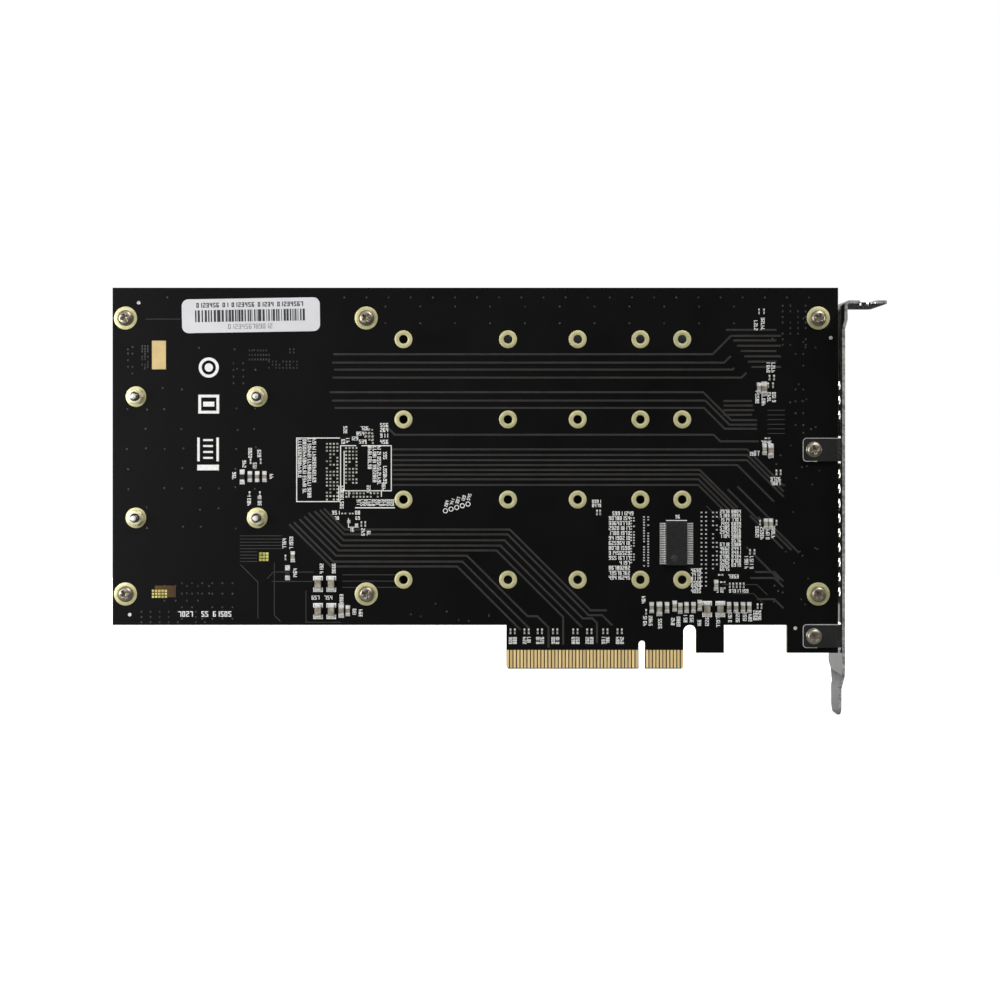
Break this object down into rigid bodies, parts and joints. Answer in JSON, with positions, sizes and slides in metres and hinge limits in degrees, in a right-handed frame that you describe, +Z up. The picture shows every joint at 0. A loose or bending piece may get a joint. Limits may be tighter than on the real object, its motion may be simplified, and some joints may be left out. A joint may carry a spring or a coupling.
{
  "type": "drive adapter card",
  "caption": "Long expansion card with drive sockets and fan under a ribbed cover, ringed holes on its solder side, edge contacts and a folded vented steel bracket.",
  "frame": {"origin": "middle of the key notch at the contact edge, in the middle of the board's thickness", "axes": "+X along the board towards the bracket, +Z up from the contact edge, -Y out of the solder side"},
  "size_m": [0.2209, 0.0216, 0.1222],
  "materials": {
    "solder_mask_board": "matte black solder mask over glass-epoxy",
    "gold_plating": "bright gold plating",
    "nickel_steel": "satin nickel-plated steel sheet",
    "zinc_screws": "pale zinc-plated steel",
    "brass_posts": "machined brass",
    "black_aluminium": "black anodised aluminium",
    "fan_plastic": "black moulded plastic",
    "motor_iron": "stacked iron",
    "sintered_bronze": "sintered bronze",
    "ground_steel": "ground steel",
    "chip_body": "black moulding compound",
    "thermal_pad": "soft grey-blue silicone pad",
    "socket_plastic": "black liquid-crystal polymer",
    "ceramic_capacitor": "brown ceramic with tinned ends",
    "inductor_block": "pressed iron powder",
    "tantalum_block": "black moulded capacitor",
    "crystal_can": "nickel can",
    "header_plastic": "off-white nylon"
  },
  "bodies": {
    "card": {"board": "solder_mask_board", "edge_contacts_back": "gold_plating", "edge_contacts_front": "gold_plating", "bracket": "nickel_steel", "bracket_screws": "zinc_screws", "bracket_nuts": "zinc_screws", "cover_plate": "black_aluminium", "cover_posts": "brass_posts", "cover_screws": "zinc_screws", "fan_frame": "fan_plastic", "fan_stator": "motor_iron", "fan_bearing": "sintered_bronze", "fan_screws": "zinc_screws", "fan_nuts": "zinc_screws", "switch_chip": "chip_body", "chip_pad": "thermal_pad", "clock_chip": "chip_body", "supply_capacitors": "ceramic_capacitor", "power_inductors": "inductor_block", "power_controllers": "chip_body", "bulk_capacitors": "tantalum_block", "memory_chip": "chip_body", "crystal": "crystal_can", "fan_header": "header_plastic", "fan_header_pins": "gold_plating", "drive_socket_1": "socket_plastic", "drive_pad_1": "thermal_pad", "drive_socket_2": "socket_plastic", "drive_pad_2": "thermal_pad", "drive_socket_3": "socket_plastic", "drive_pad_3": "thermal_pad", "drive_socket_4": "socket_plastic", "drive_pad_4": "thermal_pad"},
    "fan_rotor": {"fan_impeller": "fan_plastic", "fan_shaft": "ground_steel"}
  },
  "joints": [
    {"name": "fan_spin", "type": "hinge", "parent": "card", "child": "fan_rotor", "pos_m": [-0.1278, 0.00799, 0.06075], "axis": [0, 1, 0], "continuous": true}
  ]
}
